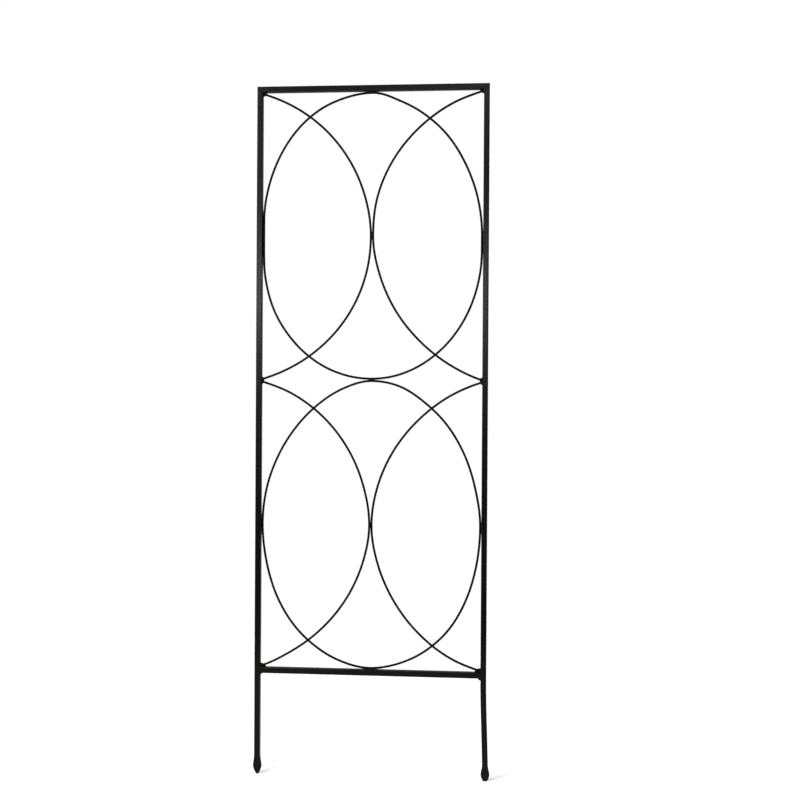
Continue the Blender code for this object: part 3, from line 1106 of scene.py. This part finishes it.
# The lumps of a middle bead, as (rise, radius, how far out of the stile's face)
MIDDLE_LUMPS = (
    (-0.0049, 0.0024, 0.0006), (-0.0021, 0.0032, 0.0017), (0.0010, 0.0034, 0.0018),
    (0.0040, 0.0028, 0.0010), (0.0060, 0.0018, 0.0003),
)
SIDE_TACKS = {
    (Level.UPPER, Side.LEFT): Tack(0.0100, 0.0013, True),
    (Level.UPPER, Side.RIGHT): Tack(0.0100, 0.0013, True),
    (Level.LOWER, Side.LEFT): Tack(0.0110, 0.0014, True),
    (Level.LOWER, Side.RIGHT): Tack(0.0136, 0.0016, True, drop=0.0020),
}
RAIL_TACKS = {Level.UPPER: Tack(0.0110, 0.0013, False), Level.LOWER: Tack(0.0134, 0.0016, False)}
OVAL_PAIR_TACK = Tack(0.0110, 0.0014, False, radii=(1.3, 1.0), back=0.0004)
ARC_PAIR_TACK = Tack(0.0110, 0.0013, True, radii=(1.3, 1.0), back=-0.0012)


@dataclass
class Welds:
    """The beads and tacks that hold the wires and tubes together."""

    plan: Plan
    infill: WireInfill
    wire_inset: float = 0.00009
    wall_inset: float = 0.00014
    wall_depth: float = 0.0016
    wall_margin: float = 0.0010
    wall_beyond: float = 0.003
    stretch_steps: int = 10
    arc_end_steps: int = 8
    rod_sides: int = 20
    deepest_lump: float = 0.0034
    middle_wall: float = 0.0105
    middle_wire: float = 0.011
    middle_depth_share: float = 1.2
    middle_forward: float = 0.0003
    middle_slope: float = 0.2
    fine_grain: float = 0.00022
    tack_place: float = 0.45
    fuse_ripple: float = 0.00005
    fuse_radii: Triple = (0.0016, 0.0010, 0.0016)
    fuse_wire: float = 0.0065

    def wall(self, side: Side, start: float, end: float) -> Block:
        """The wall of a stile's inner face between two heights."""
        near, half = self.plan.inner + self.wall_inset, self.plan.tube / 2 - self.wall_margin
        return (side * near, -half, start), (side * (near + self.wall_depth), half, end)

    def floor(self, height: float, facing: int, start: float, end: float) -> Block:
        """The wall of a rail's face, which looks up (1) or down (-1), between two places."""
        near, half = height - facing * self.wall_inset, self.plan.tube / 2 - self.wall_margin
        return (start, -half, near), (end, half, near - facing * self.wall_depth)

    def melt(self, metal: WeldMetal, wire: Wire, angles: Sequence[float]) -> None:
        """Add the stretch of a wire that runs through some angles."""
        points = [wire(angle) for angle in angles]
        add_rod(metal.shape, points, self.plan.wire - self.wire_inset, self.rod_sides, False)

    def stretch(self, metal: WeldMetal, wire: Wire, middle: float, half: float) -> None:
        """Add the stretch of a wire on both sides of an angle."""
        self.melt(metal, wire, spread(middle, half, self.stretch_steps))

    def arc_end(self, metal: WeldMetal, side: Side, level: Level, end: int, length: float) -> None:
        """Add the last stretch of an arc.

        Args:
            metal: The weld.
            side: The arc's side.
            level: The arc's level.
            end: 1 for the end in the corner of the frame, and -1 for the one at the middle.
            length: How much of the wire is added.
        """
        steps = self.arc_end_steps
        span = length / self.infill.arc_frame[2]
        angles = [end * (self.infill.arc_reach() - span * step / steps) for step in range(steps + 1)]
        self.melt(metal, partial(self.infill.arc_point, side, level), angles)

    def corner_bead(self, side: Side, level: Level) -> None:
        """A bead in a corner of the frame, over the far end of an arc.

        Args:
            side: The corner's side.
            level: The corner's level.
        """
        inner, height, bead = self.plan.inner, self.plan.rail_face(level), CORNER_BEADS[level]
        node = f"{level.end}_{side.word}_corner_weld"
        metal = WeldMetal(node + "_bead")
        along_rail, along_stile = bead.legs
        for index in range(bead.lumps):
            turn = index / (bead.lumps - 1) * pi / 2
            radius = bead.plump * blend(bead.end_radius, 1, sin(2 * turn)) * metal.swell(index, bead.swell)
            inset = (along_rail - radius) * cos(turn) ** bead.hollow + bead.off_corner * radius
            drop = (along_stile - radius) * sin(turn) ** bead.hollow + bead.off_corner * radius
            centre = (side * (inner - inset), -bead.forward, height - level * drop)
            metal.ball(centre, (radius, min(bead.depth_share * radius, self.deepest_lump), radius))
        root, radius = bead.root_place * bead.plump, bead.root_radius * bead.plump
        metal.ball((side * (inner - root), 0, height - level * root), (radius, bead.root_depth, radius))
        metal.block(*self.wall(side, height, height - level * (along_stile + self.wall_beyond)))
        far_end = side * (inner - along_rail - self.wall_beyond)
        metal.block(*self.floor(height, -level, side * inner, far_end))
        self.arc_end(metal, side, level, 1, along_rail + bead.melted_wire)
        metal.place(node)

    def under_rail_bead(self, side: Side) -> None:
        """A fillet below one end of the bottom rail.

        Args:
            side: The end's side.
        """
        inner, height, bead = self.plan.inner, self.plan.rail_floor, FILLETS[side]
        node = f"{side.word}_under_rail_weld"
        metal = WeldMetal(node + "_bead")
        place, radius = bead.place * bead.leg, bead.radius * bead.leg
        deeps = (-bead.half_length, bead.half_length)
        ends = [Vector((side * (inner - place), deep, height - place)) for deep in deeps]
        metal.run(*ends, (radius, bead.depth, radius), bead.taper)
        metal.block(*self.wall(side, height - bead.leg - bead.wall_beyond, height))
        far_end = side * (inner - bead.leg - bead.wall_beyond)
        metal.block(*self.floor(height, -1, side * inner, far_end))
        metal.place(node)

    def middle_bead(self, side: Side) -> None:
        """A bead on the middle of a stile, over the ends of two arcs.

        Args:
            side: The stile's side.
        """
        inner, height = self.plan.inner, self.plan.middle
        node = f"{side.word}_middle_weld"
        metal = WeldMetal(node + "_bead")
        for rise, radius, out in MIDDLE_LUMPS:
            centre = (side * (inner - out), -self.middle_forward - self.middle_slope * out, height + rise)
            metal.ball(centre, (radius, min(self.middle_depth_share * radius, self.deepest_lump), radius))
        metal.block(*self.wall(side, height - self.middle_wall, height + self.middle_wall))
        for level in Level:
            self.arc_end(metal, side, level, -1, self.middle_wire)
        metal.place(node)

    def add_tack(
        self, node: str, tack: Tack, middle: Triple, melted: Sequence[Melted], *block: Triple
    ) -> None:
        """Build and dress a tack.

        Args:
            node: The node that it stands for.
            tack: Its sizes.
            middle: The place that its middle lies back from.
            melted: (wire, angle at the tack, radius there) of each wire that it melts.
            block: Opposite corners of the tube's wall that it melts, if any.
        """
        metal = WeldMetal(node + "_bead", grain=self.fine_grain)
        along, out = (share * tack.plump for share in tack.radii)
        across, deep, height = middle
        half = tack.length / 2 - tack.plump
        shifts = [(0, shift) if tack.upright else (shift, 0) for shift in (-half, half)]
        ends = [Vector((across + right, deep + tack.back, height + up)) for right, up in shifts]
        metal.run(*ends, (out, tack.plump, along) if tack.upright else (along, tack.plump, out))
        if block:
            metal.block(*block)
        for wire, angle, radius in melted:
            self.stretch(metal, wire, angle, (tack.length / 2 + tack.drop + tack.melted_wire) / radius)
        metal.place(node)

    def add_oval_tacks(self) -> None:
        """Build and dress the tacks of the ovals: on the stiles, on the rails and between them."""
        plan, infill = self.plan, self.infill
        half_width, half_height = infill.oval_half
        inset = self.tack_place * plan.wire
        ovals = {level: partial(infill.oval_point, level) for level in Level}
        for (level, side), tack in SIDE_TACKS.items():
            middle = (side * (plan.inner - inset), 0, infill.oval_centre(level).z - tack.drop)
            reach = tack.length / 2 + self.wall_beyond
            melted = [(ovals[level], 0.0 if side is Side.RIGHT else pi, half_height)]
            wall = self.wall(side, middle[2] - reach, middle[2] + reach)
            self.add_tack(f"{level.word}_oval_{side.word}_weld", tack, middle, melted, *wall)
        for level, tack in RAIL_TACKS.items():
            face, reach = plan.rail_face(level), tack.length / 2 + self.wall_beyond
            middle, melted = (0, 0, face - level * inset), [(ovals[level], level * pi / 2, half_width)]
            floor = self.floor(face, -level, -reach, reach)
            self.add_tack(f"{level.word}_oval_{level.end}_weld", tack, middle, melted, *floor)
        middle = (0, 0, plan.middle + infill.ovals_meet_above_middle)
        melted = [(ovals[level], -level * pi / 2, half_width) for level in Level]
        self.add_tack("oval_to_oval_weld", OVAL_PAIR_TACK, middle, melted)

    def add_crossing(self, side: Side, level: Level, order: int, angles: Pair) -> None:
        """Build and dress a place where an arc and an oval are fused, with no metal added.

        Args:
            side: The arc's side.
            level: The panel.
            order: Its number on the arc.
            angles: Its angles on the arc and on the oval.
        """
        infill = self.infill
        name = f"{level.word}_{side.word}_fused_crossing_{order}"
        metal = WeldMetal(name, grain=self.fine_grain, ripple=self.fuse_ripple)
        on_arc = infill.arc_point(side, level, angles[0])
        metal.ball((on_arc.x, 0, on_arc.z), self.fuse_radii)
        arc, oval = partial(infill.arc_point, side, level), partial(infill.oval_point, level)
        self.stretch(metal, arc, angles[0], self.fuse_wire / infill.arc_frame[3])
        self.stretch(metal, oval, angles[1], self.fuse_wire / infill.oval_half[0])
        metal.place(coat=WIRE_COAT)

    def build(self) -> None:
        """Build and dress every weld."""
        infill = self.infill
        for side in Side:
            for level in Level:
                self.corner_bead(side, level)
            self.middle_bead(side)
        for side in Side:
            self.under_rail_bead(side)
        self.add_oval_tacks()
        for level in Level:
            apex = infill.arc_point(Side.RIGHT, level, 0.0)
            arcs = [partial(infill.arc_point, side, level) for side in Side]
            melted = [(arc, 0.0, infill.arc_frame[3]) for arc in arcs]
            self.add_tack(f"{level.word}_arc_pair_weld", ARC_PAIR_TACK, (0, apex.y, apex.z), melted)
            for side in Side:
                for order, angles in enumerate(infill.crossings(side, level)):
                    self.add_crossing(side, level, order, angles)


@dataclass(frozen=True)
class SoftLamp:
    """A soft rectangular lamp: its place, the point that it faces, its sides and its watts."""

    name: str
    place: Triple
    aim: Triple
    sides: Pair
    power: float

    def hang(self) -> None:
        """Put the lamp into the scene."""
        light = bpy.data.lights.new(self.name, "AREA")
        light.shape = "RECTANGLE"
        light.size, light.size_y = self.sides
        light.energy = self.power
        lamp = put(light)
        lamp.location = self.place
        lamp.rotation_euler = (Vector(self.aim) - Vector(self.place)).to_track_quat("-Z", "Y").to_euler()


LAMPS = (
    SoftLamp("near_lamp", (-0.9, -1.1, 1.9), (0, 0, 1.1), (0.6, 0.6), 31.0),
    SoftLamp("window", (-0.47, -3.40, 1.28), (0, 0, 0.95), (1.5, 0.20), 35.0),
    SoftLamp("high_window", (0.30, -3.40, 2.45), (0, 0, 1.2), (0.45, 0.45), 5.5),
)


@dataclass
class Studio:
    """A pale floor, a white background, soft lamps and the camera."""

    floor_reach: float = 1.6
    floor_sides: int = 96
    floor_fade: Pair = (0.60, 1.55)
    floor_colour: Triple = (0.90, 0.90, 0.90)
    pulp_size: float = 0.004
    pulp_tone: float = 0.985
    floor_lift: float = 0.44
    mirrored_floor_lift: float = 0.10
    ambient: float = 0.24
    room: float = 0.05
    mirrored_backdrop: float = 0.4
    backdrop_span: Pair = (-0.25, 0.45)
    sun: float = 0.8
    sun_spread: float = 30.0
    sun_aim: Triple = (1.0, 1.0, -1.9)
    camera_place: Triple = (0.226, -2.149, 0.762)
    camera_yaw: float = 4.488
    camera_pitch: float = -0.327
    camera_roll: float = 0.339
    lens_pixels: float = 1090.0
    image_pixels: float = 800.0
    sensor: float = 36.0

    def add_floor(self) -> None:
        """A pale round floor that melts into the white background and keeps the shadow."""
        shape = bmesh.new()
        bmesh.ops.create_circle(shape, cap_ends=True, segments=self.floor_sides, radius=self.floor_reach)
        floor = put(finished_mesh("floor", shape))
        paper = bpy.data.materials.new("pale_floor_paper")
        tree = ShaderTree(paper)
        far = tree.node("VectorMath", {"operation": "LENGTH"}, {0: tree.place()}, "Value")
        pulp = tree.noise(tree.place(), self.pulp_size, detail=2.0)
        tone = tuple(self.pulp_tone * part for part in self.floor_colour)
        plain = tree.node("BsdfDiffuse", {}, {"Color": tree.tint(pulp, tone, self.floor_colour)})
        seen, mirrored = tree.watchers()
        lift = seen + mirrored * (self.mirrored_floor_lift / self.floor_lift)
        glow = tree.node("Emission", {}, {"Color": WHITE, "Strength": self.floor_lift})
        bright = tree.node("AddShader", {}, {0: plain, 1: glow})
        paper_white = tree.node("MixShader", {}, {0: lift, 1: plain, 2: bright})
        clear = tree.node("BsdfTransparent")
        sockets = {0: far.step(*self.floor_fade), 1: paper_white, 2: clear}
        tree.close("Material", tree.node("MixShader", {}, sockets))
        floor.data.materials.append(paper)

    def add_world(self) -> None:
        """A white background, with a dimmer room for the light that reaches the trellis."""
        world = bpy.data.worlds.new("studio")
        bpy.context.scene.world = world
        tree = ShaderTree(world)
        seen, mirrored = tree.watchers()
        direction = tree.node("TexCoord", output="Generated")
        deep = tree.node("SeparateXYZ", {}, {0: direction}, "Y")
        backdrop = self.room + (self.mirrored_backdrop - self.room) * deep.step(*self.backdrop_span)
        strength = seen + (1 - seen) * (mirrored * backdrop + (1 - mirrored) * self.ambient)
        sky = tree.node("Background", {}, {"Color": WHITE, "Strength": strength})
        tree.close("World", sky)

    def add_lamps(self) -> None:
        """Even light and a near lamp from the upper left, and two windows behind the camera."""
        light = bpy.data.lights.new("even_light", "SUN")
        light.energy = self.sun
        light.angle = radians(self.sun_spread)
        put(light).rotation_euler = Vector(self.sun_aim).to_track_quat("-Z", "Y").to_euler()
        for lamp in LAMPS:
            lamp.hang()

    def add_camera(self) -> None:
        """The camera at the photograph's place, with its lens and its slight roll."""
        data = bpy.data.cameras.new("camera")
        data.sensor_width = self.sensor
        data.lens = self.lens_pixels / self.image_pixels * self.sensor
        camera = put(data)
        turn = (
            Matrix.Rotation(radians(self.camera_yaw), 4, "Z")
            @ Matrix.Rotation(pi / 2 + radians(self.camera_pitch), 4, "X")
            @ Matrix.Rotation(radians(self.camera_roll), 4, "Z")
        )
        camera.matrix_world = Matrix.Translation(self.camera_place) @ turn
        bpy.context.scene.camera = camera

    def build(self) -> None:
        """Build the studio round the trellis."""
        self.add_camera()
        self.add_floor()
        self.add_world()
        self.add_lamps()
        bpy.context.scene.view_settings.view_transform = "Standard"


def main() -> None:
    """Build the trellis and the studio."""
    logging.basicConfig(level=logging.INFO, format="%(name)s: %(message)s")
    plan = Plan.from_frame()
    infill = WireInfill(plan)
    TubeFrame(plan).build()
    infill.build()
    Welds(plan, infill).build()
    Studio().build()


if __name__ == "__main__":
    main()
